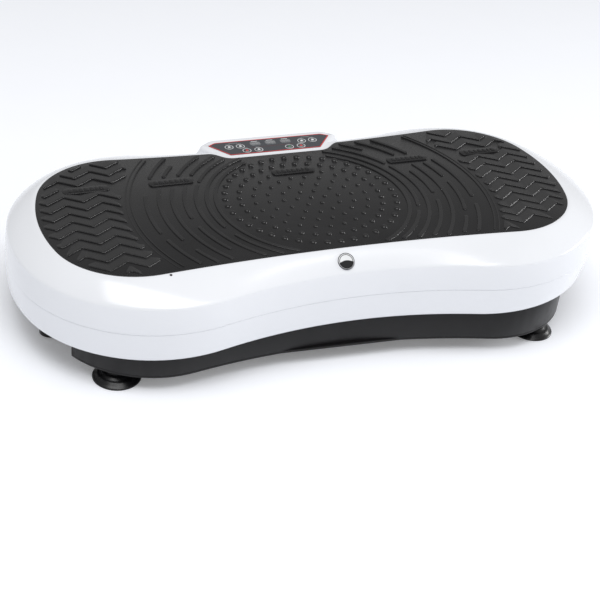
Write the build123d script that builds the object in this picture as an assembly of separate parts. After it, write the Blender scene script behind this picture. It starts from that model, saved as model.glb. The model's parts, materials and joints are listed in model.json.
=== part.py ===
from build123d import *
import os
from math import atan2, cos, degrees, radians, sin, sqrt

# A see-saw vibration plate. Millimetres, +Z up, the floor at z = 0, +X along the plate,
# -Y the side a user stands at, the control panel at +Y. The platform rocks about a shaft
# along Y. It is modelled level and then turned by REST_TILT, its stored pose, in which
# the drive's crank is at top dead centre and the +X end is at its highest.

# ---- Driving dimensions -------------------------------------------------------------
STAND_Z = 145.0             # top of the standing mat above the floor, platform level
PIVOT_Z = 91.1              # rocking axis, level with the shell's parting line
REST_TILT = 2.1             # degrees
RUNNING = 0.05              # radial clearance of a shaft in its hole
QUARTER = 90                # degrees, turns a cylinder from Z to X or Y

# Outlines: half length, half width at the shoulders, half width at the waist,
# shoulder radius, end radius.
MAT_OUTLINE = (335.0, 138.5, 127.8, 99.5, 241.5)
CREASE_OUTLINE = (373.4, 180.6, 153.4, 166.9, 230.4)
SKIRT_FOOT_OUTLINE = (371.9, 183.9, 156.7, 166.9, 230.4)
BASE_OUTLINE = (342.0, 175.5, 150.9, 118.0, 290.0)

# Platform levels, measured with the platform level
SHELL_TOP_Z = STAND_Z - 2.5
SHELL_TOP_T = 4.0
SHELL_WALL = 3.0
MAT_T = 4.0
LIP = 3.0                   # flat lip of the shell round the mat
CREASE_Z = STAND_Z - 21.9
PARTING_Z = PIVOT_Z
PARTING_OFFSET = 3.4
SKIRT_FOOT_Z = STAND_Z - 88.2
SKIRT_STEP = 0.5            # the skirt stands in from the shell, which shows as a line
FLANGE_W = 22.0
FLANGE_T = 3.0
NOTCH_FRONT_Y = 111.0       # where the mat stops in front of the control panel
NOTCH_HALF_FRONT = 67.0
NOTCH_HALF_REAR = 100.0
NOTCH_REAR_Y = 142.0

# Steel deck of the platform
DECK_T = 4.0
DECK_TOP_Z = SHELL_TOP_Z - SHELL_TOP_T
DECK_HALF = (300.0, 100.0)
DECK_CORNER_R = 45.0
RAIL_W, RAIL_H, RAIL_WALL = 30.0, 20.0, 2.0
PLATFORM_RAIL_Y = 70.0
PLATFORM_RAIL_HALF = 250.0
PLATFORM_RAIL_Z = DECK_TOP_Z - DECK_T - RAIL_H

# Base
BASE_FOOT_Z = 19.5
PLATE_T = 3.0
TRAY_Z = BASE_FOOT_Z + PLATE_T
TRAY_FLOOR_Z = TRAY_Z + 3.0
TRAY_WALL = 3.0
TRAY_TOP_Z = 74.0
END_BAY_X = 300.0           # the base's ends are set back here for the band anchors
END_BAY_HALF = 114.0
WAIST_LIP = (92.0, 154.5)   # the bottom plate runs straight across the waist
BASE_RAIL_Y = 100.0
BASE_RAIL_HALF = 230.0
BASE_RAIL_TOP = TRAY_FLOOR_Z + RAIL_H
CROSS_X = 190.0
CUP_X, CUP_Y, CUP_R = 269.3, 136.2, 28.4
STUD_R = 4.0

# Rocking shaft
SHAFT_R = 10.0
SHAFT_HALF = 107.5
BUSH_WALL = 3.0
BRACKET_T = 12.0
LUG_T = 10.0

# Drive: motor, belt, eccentric and connecting rod
PIN_X, PIN_Z, PIN_R = 130.0, 103.0, 5.0
THROW = PIN_X * sin(radians(REST_TILT))
CRANK_Z = 58.0
CRANK_R = 8.0
LOBE_R = 14.0
LOBE_HALF = 9.5
ROD_HALF = 9.0
ROD_RING = 5.0
ROD_EYE_R = PIN_R + 2 * THROW + 0.8     # the linkage is open at this eye
BELT_Y, BELT_W, BELT_T = 62.0, 12.0, 3.0
PULLEY_R = 28.0
MOTOR_PULLEY_R = 12.0
MOTOR_X, MOTOR_Z, MOTOR_R = 50.0, 64.0, 32.0
BEARING_R, BEARING_W = 16.0, 10.0
BLOCK_Y = (-28.0, 36.0)
BLOCK_HALF = 8.0
DRIVE_PLATE_T = 4.0
DRIVE_Z = TRAY_FLOOR_Z + DRIVE_PLATE_T
MOTOR_SHAFT_R = 5.0

# Control board in the base, and the mains inlet with its rocker in the rear wall
CONTROL_X = -110.0
INLET_FACE_Y = 153.6
INLET_Z = 40.0
INLET_HALF = (30.0, 14.0)
INLET_RIM = (33.0, 15.5)
ROCKER_X = 17.0
ROCKER_Y = INLET_FACE_Y - 0.5
ROCKER_REST = 8.0           # degrees

# Band anchors in the end bays
ANCHOR_X, ANCHOR_Y, ANCHOR_R = 328.0, 38.0, 13.5
ANCHOR_Z = (3.0, 34.0)
ANCHOR_BAR_Z = 21.0
ANCHOR_BAR_R = 4.0
ANCHOR_PLATE_T = 6.0
ANCHOR_SCREWS = (18.0, 42.0)

# Control panel, which sits a little to the left of the middle, as the badge does
PANEL_X = -4.0
PANEL_Z = STAND_Z - 2.3
PANEL_BACK_Y = 168.0
PANEL_FOOT_Z = 93.0
OVERLAY_T = 0.6
KEY_R = 4.6
KEY_TRAVEL = 0.5
KEY_ROWS = {"upper": (141.4, (-58.0, -42.7, 42.7, 58.0)),
            "lower": (128.2, (-37.5, -21.2, 21.2, 37.5))}
WINDOW_XS = (-21.0, 0.0, 21.0)
WINDOW_Y = 145.9
WINDOW_HALF = (7.0, 3.5)
PANEL_BOSSES = ((-73, 146.5), (65, 146.5), (-58, 120.5), (50, 120.5))
BOARD_Z = PANEL_Z - 6.9

# Front badge, let into the sloping rim at the middle, and the remote control's window
BADGE_R = 10.2
BADGE_T = 2.4
BADGE_X, BADGE_Y = -4.0, -142.4
RIM_RUN = CREASE_OUTLINE[2] - MAT_OUTLINE[2] - LIP
RIM_DROP = SHELL_TOP_Z - CREASE_Z
BADGE_SLOPE = degrees(atan2(RIM_DROP, RIM_RUN))
BADGE_Z = SHELL_TOP_Z - (-BADGE_Y - MAT_OUTLINE[2] - LIP) * RIM_DROP / RIM_RUN
BADGE_PLACE = Pos(BADGE_X, BADGE_Y, BADGE_Z) * Rot(X=BADGE_SLOPE)
REMOTE_WINDOW = (-211.5, -140.4)

ROCK_AXIS = Axis((0, 0, PIVOT_Z), (0, 1, 0))


def rest(shape):
    """Turn a piece of the level platform, or a list of them, to its stored pose, +X end up."""
    if isinstance(shape, list):
        return [rest(piece) for piece in shape]
    return shape.rotate(ROCK_AXIS, -REST_TILT)


PIN_REST = rest(Pos(PIN_X, 0, PIN_Z) * Sphere(1)).center()
CRANK_X = PIN_REST.X
LOBE_Z = CRANK_Z + THROW


# ---- Small builders -------------------------------------------------------------------
def outline(size, z):
    """Closed plan outline at height z: end, shoulder and waist arcs, all tangent."""
    half_length, half_width, waist, r_shoulder, r_end = size
    end_x = half_length - r_end
    shoulder_y = half_width - r_shoulder
    shoulder_x = end_x + sqrt((r_end - r_shoulder) ** 2 - shoulder_y ** 2)
    r_waist = (shoulder_x ** 2 + (waist - shoulder_y) ** 2 - r_shoulder ** 2) / (2 * (half_width - waist))
    end_angle = atan2(shoulder_y, shoulder_x - end_x)
    waist_angle = atan2(waist + r_waist - shoulder_y, -shoulder_x)

    def on_shoulder(angle):
        return shoulder_x + r_shoulder * cos(angle), shoulder_y + r_shoulder * sin(angle)

    tip = on_shoulder(end_angle)
    middle = on_shoulder((end_angle + waist_angle) / 2)
    hip = on_shoulder(waist_angle)

    def arc(*points):
        return Edge.make_three_point_arc(*[(x, y, z) for x, y in points])

    def flip(point, sx, sy):
        return point[0] * sx, point[1] * sy

    edges = []
    for sx, sy in ((1, 1), (-1, 1), (-1, -1), (1, -1)):
        edges.append(arc(flip(tip, sx, sy), flip(middle, sx, sy), flip(hip, sx, sy)))
    for sy in (1, -1):
        edges.append(arc(flip(hip, 1, sy), (0, waist * sy), flip(hip, -1, sy)))
    for sx in (1, -1):
        edges.append(arc(flip(tip, sx, 1), (half_length * sx, 0), flip(tip, sx, -1)))
    return Wire(edges)


def grown(size, d):
    """The same outline offset outwards by d."""
    return tuple(value + d for value in size)


def prism(size, z_low, z_high):
    return extrude(Face(outline(size, z_low)), amount=z_high - z_low, dir=(0, 0, 1))


def tower(*levels):
    """Straight-sided body through (size, z) levels."""
    body = Part()
    for (size_a, z_a), (size_b, z_b) in zip(levels, levels[1:]):
        body += Part(Solid.make_loft([outline(size_a, z_a), outline(size_b, z_b)], ruled=True).wrapped)
    return body


def block(x0, x1, y0, y1, z0, z1):
    return Pos((x0 + x1) / 2, (y0 + y1) / 2, (z0 + z1) / 2) * Box(x1 - x0, y1 - y0, z1 - z0)


def post(x, y, z0, z1, r):
    return Pos(x, y, (z0 + z1) / 2) * Cylinder(r, z1 - z0)


def rod(x, z, y0, y1, r):
    """Cylinder along Y."""
    return Pos(x, (y0 + y1) / 2, z) * Rot(X=QUARTER) * Cylinder(r, y1 - y0)


def tube_x(x0, x1, y, z0, width, height, wall):
    """Hollow rectangular rail along X standing on z0."""
    outer = block(x0, x1, y - width / 2, y + width / 2, z0, z0 + height)
    hollow = block(x0, x1, y - width / 2 + wall, y + width / 2 - wall, z0 + wall, z0 + height - wall)
    return outer - hollow


def hexagon_prism(x, y, z0, z1, r):
    return Pos(x, y, z0) * extrude(RegularPolygon(r, 6), amount=z1 - z0)


def screw(x, y, z_seat, length, r_shank, r_head, head, up=True):
    """Cylinder-head screw. Its head seats at z_seat and the shank points up or down."""
    s = 1 if up else -1
    shank = post(x, y, *sorted((z_seat, z_seat + s * length)), r_shank)
    cap = post(x, y, *sorted((z_seat, z_seat - s * head)), r_head)
    return shank + cap


def corners(x, y):
    return [(sx * x, sy * y) for sx in (-1, 1) for sy in (-1, 1)]


# ---- Platform -------------------------------------------------------------------------
SHELL_LEVELS = ((grown(MAT_OUTLINE, LIP), SHELL_TOP_Z), (CREASE_OUTLINE, CREASE_Z),
                (grown(CREASE_OUTLINE, PARTING_OFFSET), PARTING_Z))
SHELL_SCREW_SPOTS = corners(150, 160) + corners(290, 137) + corners(354, 40)
DECK_BOLT_SPOTS = corners(60, PLATFORM_RAIL_Y) + corners(235, PLATFORM_RAIL_Y)


def panel_plan(grow=0.0):
    """Hexagon of the panel housing, with both tips near its rear edge."""
    points = ((-66, 112.5), (66, 112.5), (97, 153.5), (78, PANEL_BACK_Y), (-78, PANEL_BACK_Y), (-97, 153.5))
    face = make_face(Polyline(*points, close=True))
    return offset(face, grow, kind=Kind.INTERSECTION) if grow else face


def panel_body(z_foot, z_top, inset=0.0):
    """Housing body: the hexagon, with a rear wall that leans in towards its foot."""
    hexagon = Pos(PANEL_X, 0, z_foot) * extrude(panel_plan(-inset), amount=z_top - z_foot)
    profile = Polyline((0, 100, z_foot), (0, 158 - inset, z_foot), (0, PANEL_BACK_Y - inset, 137),
                       (0, PANEL_BACK_Y - inset, z_top), (0, 100, z_top), close=True)
    return hexagon & Pos(-120, 0, 0) * extrude(make_face(profile), amount=240, dir=(1, 0, 0))


def make_top_shell():
    shell = tower(*SHELL_LEVELS)
    shell -= tower((grown(MAT_OUTLINE, LIP - 2), SHELL_TOP_Z - SHELL_TOP_T),
                   (grown(CREASE_OUTLINE, -SHELL_WALL), CREASE_Z - 1.5),
                   (grown(CREASE_OUTLINE, PARTING_OFFSET - SHELL_WALL), PARTING_Z))
    posts = [post(x, y, PARTING_Z, SHELL_TOP_Z, 5.0) for x, y in SHELL_SCREW_SPOTS]
    shell += tower(*SHELL_LEVELS) & (Part() + posts)
    shell -= prism(MAT_OUTLINE, STAND_Z - MAT_T, STAND_Z)
    shell -= panel_body(PARTING_Z - 5, STAND_Z, inset=0.0)
    return shell


def make_standing_mat():
    slab = prism(grown(MAT_OUTLINE, -0.3), STAND_Z - MAT_T, STAND_Z)
    notch = Polyline((-NOTCH_HALF_FRONT, NOTCH_FRONT_Y), (NOTCH_HALF_FRONT, NOTCH_FRONT_Y),
                     (NOTCH_HALF_REAR, NOTCH_REAR_Y), (-NOTCH_HALF_REAR, NOTCH_REAR_Y), close=True)
    return slab - Pos(PANEL_X, 0, STAND_Z - MAT_T) * extrude(make_face(notch), amount=MAT_T)


def make_lower_skirt():
    top = grown(CREASE_OUTLINE, PARTING_OFFSET - SKIRT_STEP)
    skirt = tower((top, PARTING_Z), (SKIRT_FOOT_OUTLINE, SKIRT_FOOT_Z))
    skirt -= tower((grown(top, -SHELL_WALL), PARTING_Z),
                   (grown(SKIRT_FOOT_OUTLINE, -SHELL_WALL), SKIRT_FOOT_Z))
    flange = prism(grown(top, -1.0), PARTING_Z - FLANGE_T, PARTING_Z)
    flange -= prism(grown(top, -FLANGE_W), PARTING_Z - FLANGE_T, PARTING_Z)
    return skirt + flange


def make_shell_screws():
    return [screw(x, y, PARTING_Z - FLANGE_T, 18, 1.8, 4.0, 2.5) for x, y in SHELL_SCREW_SPOTS]


def make_deck_plate():
    plan = RectangleRounded(2 * DECK_HALF[0], 2 * DECK_HALF[1], DECK_CORNER_R)
    return Pos(0, 0, DECK_TOP_Z - DECK_T) * extrude(plan, amount=DECK_T)


def make_deck_bolts():
    return [screw(x, y, DECK_TOP_Z - 2, 14, 2.5, 5.0, 2, up=False) for x, y in DECK_BOLT_SPOTS]


def make_platform_rail(side):
    return tube_x(-PLATFORM_RAIL_HALF, PLATFORM_RAIL_HALF, side * PLATFORM_RAIL_Y, PLATFORM_RAIL_Z,
                  RAIL_W, RAIL_H, RAIL_WALL)


def make_pivot_lug(side):
    """Plate that hangs from a platform rail and clamps the rocking shaft."""
    y = side * PLATFORM_RAIL_Y
    y0, y1 = y - LUG_T / 2, y + LUG_T / 2
    lug = block(-18, 18, y0, y1, PIVOT_Z, PLATFORM_RAIL_Z) + rod(0, PIVOT_Z, y0, y1, 18)
    lug += block(-35, 35, y - RAIL_W / 2, y + RAIL_W / 2, PLATFORM_RAIL_Z - 4, PLATFORM_RAIL_Z)
    return lug - rod(0, PIVOT_Z, y0, y1, SHAFT_R)


def make_rocking_shaft():
    return rod(0, PIVOT_Z, -SHAFT_HALF, SHAFT_HALF, SHAFT_R)


def make_rod_bracket():
    """Two angle ears under the deck that hold the wrist pin."""
    z_deck = DECK_TOP_Z - DECK_T
    ears = []
    for s in (-1, 1):
        ear = block(PIN_X - 12, PIN_X + 12, *sorted((s * 13, s * 18)), PIN_Z, z_deck)
        ear += rod(PIN_X, PIN_Z, *sorted((s * 13, s * 18)), 12)
        ear += block(PIN_X - 18, PIN_X + 18, *sorted((s * 18, s * 40)), z_deck - 4, z_deck)
        ears.append(ear - rod(PIN_X, PIN_Z, *sorted((s * 13, s * 18)), PIN_R))
    return ears


def make_wrist_pin():
    pin = rod(PIN_X, PIN_Z, -20, 20, PIN_R)
    return pin + rod(PIN_X, PIN_Z, -22, -20, PIN_R + 2) + rod(PIN_X, PIN_Z, 20, 22, PIN_R + 2)


def key_spots():
    return {f"{row}_{i + 1}": (x + PANEL_X, y) for row, (y, xs) in KEY_ROWS.items() for i, x in enumerate(xs)}


def window_block(x, z0, z1):
    half_x, half_y = WINDOW_HALF
    x += PANEL_X
    return block(x - half_x, x + half_x, WINDOW_Y - half_y, WINDOW_Y + half_y, z0, z1)


def make_panel_housing():
    housing = panel_body(PANEL_FOOT_Z, PANEL_Z) - panel_body(PANEL_FOOT_Z, PANEL_Z - 2.5, inset=2.5)
    for x, y in key_spots().values():
        housing -= post(x, y, PANEL_Z - 3, PANEL_Z, KEY_R + 0.6)
    for x in WINDOW_XS:
        housing -= window_block(x, PANEL_Z - 3, PANEL_Z)
    for x, y in PANEL_BOSSES:
        housing += post(x, y, BOARD_Z + 1.6, PANEL_Z - 2.5, 3.0)
    return housing


def make_panel_overlay():
    """Printed overlay film, with open holes over the keys."""
    points = ((-61.8, 119.7), (61.8, 119.7), (84, 149.9), (74, 156.4), (-74, 156.4), (-84, 149.9))
    film = Pos(PANEL_X, 0, PANEL_Z) * extrude(make_face(Polyline(*points, close=True)), amount=OVERLAY_T)
    for x, y in key_spots().values():
        film -= post(x, y, PANEL_Z, PANEL_Z + OVERLAY_T, KEY_R + 0.3)
    for x in WINDOW_XS:
        film -= window_block(x, PANEL_Z, PANEL_Z + OVERLAY_T)
    return film


def make_display_windows():
    return [window_block(x, PANEL_Z - 2, PANEL_Z + OVERLAY_T) for x in WINDOW_XS]


def make_panel_board():
    """Circuit board with the three number displays standing on it."""
    points = ((-58, 116.5), (58, 116.5), (76, 147.5), (70, 153.5), (-70, 153.5), (-76, 147.5))
    board = Pos(PANEL_X, 0, BOARD_Z) * extrude(make_face(Polyline(*points, close=True)), amount=1.6)
    for x in WINDOW_XS:
        board += block(x + PANEL_X - 6.5, x + PANEL_X + 6.5, WINDOW_Y - 3.2, WINDOW_Y + 3.2, BOARD_Z, PANEL_Z - 2.2)
    return board


def make_panel_screws():
    return [screw(x, y, BOARD_Z, 4.0, 1.0, 2.2, 1.5) for x, y in PANEL_BOSSES]


def make_key(x, y):
    """Domed key cap with a retaining flange under the housing's top wall."""
    cap = post(x, y, PANEL_Z - 4.2, PANEL_Z + 1.0, KEY_R)
    cap = chamfer(cap.edges().sort_by(Axis.Z)[-1], 0.4)
    return cap + post(x, y, PANEL_Z - 4.2, PANEL_Z - 2.6, KEY_R + 1.4)


def make_front_badge():
    """Round badge let into the sloping front rim: a dished disc inside a raised ring."""
    disc = Cylinder(BADGE_R, BADGE_T) - Pos(0, 0, 1.0) * Cylinder(BADGE_R - 1.2, 0.8)
    return BADGE_PLACE * disc


def make_remote_window():
    return post(*REMOTE_WINDOW, SHELL_TOP_Z - 3, SHELL_TOP_Z + 0.2, 1.6)


# ---- Base -----------------------------------------------------------------------------
def base_prism(inset, z0, z1):
    """Base outline less the two end bays."""
    body = prism(grown(BASE_OUTLINE, -inset), z0, z1)
    for s in (-1, 1):
        bay = sorted((s * (END_BAY_X - inset), s * 400))
        body -= block(*bay, -END_BAY_HALF - inset, END_BAY_HALF + inset, z0, z1)
    return body


def make_base_tray():
    tray = base_prism(0, TRAY_Z, TRAY_TOP_Z) - base_prism(TRAY_WALL, TRAY_FLOOR_Z, TRAY_TOP_Z)
    half_x, half_z = INLET_HALF
    return tray - block(-half_x, half_x, 140, 160, INLET_Z - half_z, INLET_Z + half_z)


def make_bottom_plate():
    plate = base_prism(0, BASE_FOOT_Z, TRAY_Z)
    x, y = WAIST_LIP
    plate += block(-x, x, -y, y, BASE_FOOT_Z, TRAY_Z)
    for i in range(6):
        x_slot = MOTOR_X - 40 + 16 * i
        plate -= Pos(x_slot, -20, BASE_FOOT_Z) * extrude(SlotOverall(50, 5, rotation=90), amount=PLATE_T)
    return plate


BOTTOM_SCREW_SPOTS = corners(110, 150) + corners(200, 163) + corners(285, 90) + [(-285, 0), (285, 0)]


def make_bottom_screws():
    return [screw(x, y, BASE_FOOT_Z, 5.5, 1.8, 4.0, 1.5) for x, y in BOTTOM_SCREW_SPOTS]


def make_suction_cup(x, y):
    """Rubber cup: dished sole, flared bell and a neck under the base."""
    profile = Polyline((0, 4), (12, 3.2), (20, 0), (CUP_R, 0), (CUP_R, 1.6), (22, 5.5), (15.5, 9.5), (13, 13),
                       (13, BASE_FOOT_Z), (0, BASE_FOOT_Z), close=True)
    bell = revolve(make_face(Plane.XZ * profile), Axis.Z)
    return Pos(x, y, 0) * bell - post(x, y, 11, BASE_FOOT_Z, STUD_R)


def make_cup_studs():
    return [post(x, y, 11, 36, STUD_R) + hexagon_prism(x, y, TRAY_FLOOR_Z, TRAY_FLOOR_Z + 6.5, 7.5)
            for x, y in corners(CUP_X, CUP_Y)]


def make_base_rail(side):
    return tube_x(-BASE_RAIL_HALF, BASE_RAIL_HALF, side * BASE_RAIL_Y, TRAY_FLOOR_Z,
                  RAIL_W, RAIL_H, RAIL_WALL)


def make_crossmember(side):
    half = BASE_RAIL_Y - RAIL_W / 2
    beam = tube_x(-half, half, 0, TRAY_FLOOR_Z, RAIL_W, RAIL_H, RAIL_WALL)
    return Pos(side * CROSS_X, 0, 0) * Rot(Z=QUARTER) * beam


def make_pivot_bracket(side):
    """Upright on a base rail whose bored head carries a bush of the rocking shaft."""
    y = side * BASE_RAIL_Y
    y0, y1 = y - BRACKET_T / 2, y + BRACKET_T / 2
    profile = make_hull(Circle(SHAFT_R + BUSH_WALL + 7).edges()
                        + (Pos(0, BASE_RAIL_TOP - PIVOT_Z + 4) * Rectangle(56, 8)).edges())
    web = Pos(0, y1, PIVOT_Z) * Rot(X=QUARTER) * extrude(profile, amount=BRACKET_T)
    foot = block(-45, 45, y - RAIL_W / 2, y + RAIL_W / 2, BASE_RAIL_TOP, BASE_RAIL_TOP + 5)
    return web + foot - rod(0, PIVOT_Z, y0, y1, SHAFT_R + BUSH_WALL)


def make_pivot_bushes():
    bushes = []
    for side in (-1, 1):
        y = side * BASE_RAIL_Y
        y0, y1 = y - BRACKET_T / 2, y + BRACKET_T / 2
        outer = rod(0, PIVOT_Z, y0, y1, SHAFT_R + BUSH_WALL)
        bushes.append(outer - rod(0, PIVOT_Z, y0, y1, SHAFT_R + RUNNING))
    return bushes


def make_bracket_bolts():
    spots = [(x, side * BASE_RAIL_Y) for side in (-1, 1) for x in (-38, 38)]
    return [screw(x, y, BASE_RAIL_TOP + 5, 12, 3.0, 6.0, 4.0, up=False) for x, y in spots]


def make_drive_plate():
    return block(8, CROSS_X - RAIL_W / 2 - 2, -52, 47, TRAY_FLOOR_Z, TRAY_FLOOR_Z + DRIVE_PLATE_T)


def make_motor_case():
    """Motor can with its bored front wall."""
    case = rod(MOTOR_X, MOTOR_Z, -52, 44, MOTOR_R) - rod(MOTOR_X, MOTOR_Z, -52, 40, MOTOR_R - 3)
    return case - rod(MOTOR_X, MOTOR_Z, 40, 44, MOTOR_SHAFT_R + RUNNING)


def make_motor_end_cap():
    cap = rod(MOTOR_X, MOTOR_Z, -59, -52, MOTOR_R)
    return cap - rod(MOTOR_X, MOTOR_Z, -57, -52, MOTOR_SHAFT_R + RUNNING)


def make_motor_cradle():
    cradle = block(MOTOR_X - 26, MOTOR_X + 26, -40, 34, DRIVE_Z, MOTOR_Z - 17)
    return cradle - rod(MOTOR_X, MOTOR_Z, -52, 44, MOTOR_R)


def make_motor_rotor():
    """Motor shaft with its armature."""
    return rod(MOTOR_X, MOTOR_Z, -56, BELT_Y + 8, MOTOR_SHAFT_R) + rod(MOTOR_X, MOTOR_Z, -44, 32, 25)


def grooved_pulley(x, z, r, bore):
    half = BELT_W / 2 + 2
    wheel = rod(x, z, BELT_Y - half, BELT_Y + half, r)
    wheel -= rod(x, z, BELT_Y - half, BELT_Y + half, bore)
    return wheel


def make_motor_pulley():
    return grooved_pulley(MOTOR_X, MOTOR_Z, MOTOR_PULLEY_R, MOTOR_SHAFT_R)


def make_driven_pulley():
    wheel = grooved_pulley(CRANK_X, CRANK_Z, PULLEY_R, CRANK_R)
    for i in range(5):
        hole = Rot(Y=72 * i) * Pos(17.5, 0, 0) * Rot(X=QUARTER) * Cylinder(5.0, 40)
        wheel -= Pos(CRANK_X, BELT_Y, CRANK_Z) * hole
    return wheel


def belt_loop(grow):
    """Solid inside a belt line that runs grow outside both pulleys."""
    small = Pos(MOTOR_X, MOTOR_Z) * Circle(MOTOR_PULLEY_R + grow)
    large = Pos(CRANK_X, CRANK_Z) * Circle(PULLEY_R + grow)
    face = make_hull(small.edges() + large.edges())
    return Pos(0, BELT_Y + BELT_W / 2, 0) * Rot(X=QUARTER) * extrude(face, amount=BELT_W)


def make_drive_belt():
    return belt_loop(BELT_T + 0.3) - belt_loop(0.3)


def make_bearing_block(y):
    y0, y1 = y - BLOCK_HALF, y + BLOCK_HALF
    housing = rod(CRANK_X, CRANK_Z, y0, y1, BEARING_R + 5)
    housing += block(CRANK_X - 21, CRANK_X + 21, y0, y1, DRIVE_Z, CRANK_Z)
    housing += block(CRANK_X - 34, CRANK_X + 34, y0, y1, DRIVE_Z, DRIVE_Z + 7)
    housing -= rod(CRANK_X, CRANK_Z, y0, y1, BEARING_R - 3)
    return housing - rod(CRANK_X, CRANK_Z, y - BEARING_W / 2, y + BEARING_W / 2, BEARING_R)


def make_shaft_bearings():
    rings = []
    for y in BLOCK_Y:
        y0, y1 = y - BEARING_W / 2, y + BEARING_W / 2
        outer = rod(CRANK_X, CRANK_Z, y0, y1, BEARING_R)
        rings.append(outer - rod(CRANK_X, CRANK_Z, y0, y1, CRANK_R + RUNNING))
    return rings


def make_eccentric_shaft():
    """Crankshaft with its eccentric lobe at top dead centre."""
    shaft = rod(CRANK_X, CRANK_Z, -46, BELT_Y + 10, CRANK_R)
    return shaft + rod(CRANK_X, LOBE_Z, -LOBE_HALF, LOBE_HALF, LOBE_R)


def make_connecting_rod():
    """Rod from the eccentric to the wrist pin. Its upper eye is wide: the linkage opens there."""
    bore = LOBE_R + RUNNING
    body = rod(CRANK_X, LOBE_Z, -ROD_HALF, ROD_HALF, bore + ROD_RING)
    body += rod(CRANK_X, PIN_REST.Z, -ROD_HALF, ROD_HALF, ROD_EYE_R + 4)
    body += block(CRANK_X - 7, CRANK_X + 7, -ROD_HALF, ROD_HALF, LOBE_Z, PIN_REST.Z)
    body -= rod(CRANK_X, LOBE_Z, -ROD_HALF, ROD_HALF, bore)
    return body - rod(CRANK_X, PIN_REST.Z, -ROD_HALF, ROD_HALF, ROD_EYE_R)


def make_control_board():
    board = block(CONTROL_X - 45, CONTROL_X + 45, -35, 35, 32, 33.6)
    board += block(CONTROL_X - 30, CONTROL_X - 5, -22, 6, 33.6, 55)
    board += block(CONTROL_X + 12, CONTROL_X + 16, -25, 25, 33.6, 57)
    for x, y in ((CONTROL_X + 28, -18), (CONTROL_X + 28, 18), (CONTROL_X - 18, 22)):
        board += post(x, y, 33.6, 50, 7)
    for x, y in corners(40, 30):
        board += post(CONTROL_X + x, y, TRAY_FLOOR_Z, 32, 3)
    return board


def make_control_cover():
    outer = block(CONTROL_X - 55, CONTROL_X + 55, -45, 45, TRAY_FLOOR_Z, 65)
    return outer - block(CONTROL_X - 52, CONTROL_X + 52, -42, 42, TRAY_FLOOR_Z, 62)


def make_mains_inlet():
    """Combined mains inlet and switch frame in the rear wall of the base."""
    y_rim = INLET_FACE_Y - 1.8
    (half_x, half_z), (rim_x, rim_z) = INLET_HALF, INLET_RIM
    body = block(-half_x, half_x, 132, y_rim, INLET_Z - half_z, INLET_Z + half_z)
    body += block(-rim_x, rim_x, y_rim, INLET_FACE_Y, INLET_Z - rim_z, INLET_Z + rim_z)
    body -= block(-26, 0, INLET_FACE_Y - 16, INLET_FACE_Y, INLET_Z - 8.5, INLET_Z + 8.5)
    body -= block(ROCKER_X - 6.1, ROCKER_X + 6.1, INLET_FACE_Y - 8, INLET_FACE_Y, INLET_Z - 10, INLET_Z + 10)
    body -= Pos(ROCKER_X, ROCKER_Y, INLET_Z) * Rot(Y=QUARTER) * Cylinder(1.0 + RUNNING, 17)
    for x, dz in ((-20, -2), (-13, 2), (-6, -2)):
        body += block(x - 1, x + 1, INLET_FACE_Y - 17, INLET_FACE_Y - 5, INLET_Z + dz - 2, INLET_Z + dz + 2)
    return body


def make_power_rocker():
    cap = block(-5.5, 5.5, -3.0, 2.0, -9, 9)
    cap += Rot(Y=QUARTER) * Cylinder(1.0, 16)
    return Pos(ROCKER_X, ROCKER_Y, INLET_Z) * Rot(X=-ROCKER_REST) * cap


def make_band_anchor(side):
    """Bracket in an end bay: two arms with round heads that hold the clip bar."""
    bracket = block(END_BAY_X, END_BAY_X + ANCHOR_PLATE_T, -58, 58, 24, 50)
    for s in (-1, 1):
        y = s * ANCHOR_Y
        bracket += block(END_BAY_X, ANCHOR_X, y - ANCHOR_R, y + ANCHOR_R, *ANCHOR_Z)
        bracket += post(ANCHOR_X, y, *ANCHOR_Z, ANCHOR_R)
    bracket -= rod(ANCHOR_X, ANCHOR_BAR_Z, -ANCHOR_Y, ANCHOR_Y, ANCHOR_BAR_R)
    return bracket if side > 0 else Rot(Z=180) * bracket


def make_anchor_bar(side):
    return rod(side * ANCHOR_X, ANCHOR_BAR_Z, -ANCHOR_Y, ANCHOR_Y, ANCHOR_BAR_R)


def make_anchor_screws():
    x_seat = END_BAY_X + ANCHOR_PLATE_T
    half_y, z = ANCHOR_SCREWS
    screws = []
    for side in (-1, 1):
        for y in (-half_y, half_y):
            shank = Pos(side * (x_seat - 5), y, z) * Rot(Y=QUARTER) * Cylinder(2.0, 10)
            head = Pos(side * (x_seat + 1.25), y, z) * Rot(Y=QUARTER) * Cylinder(4.0, 2.5)
            screws.append(shank + head)
    return screws


# ---- Assembly -------------------------------------------------------------------------
def minus(part, cutters):
    """Cut the holes that fasteners and cross pieces need in a part."""
    for cutter in cutters:
        part = part - cutter
    return part


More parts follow.
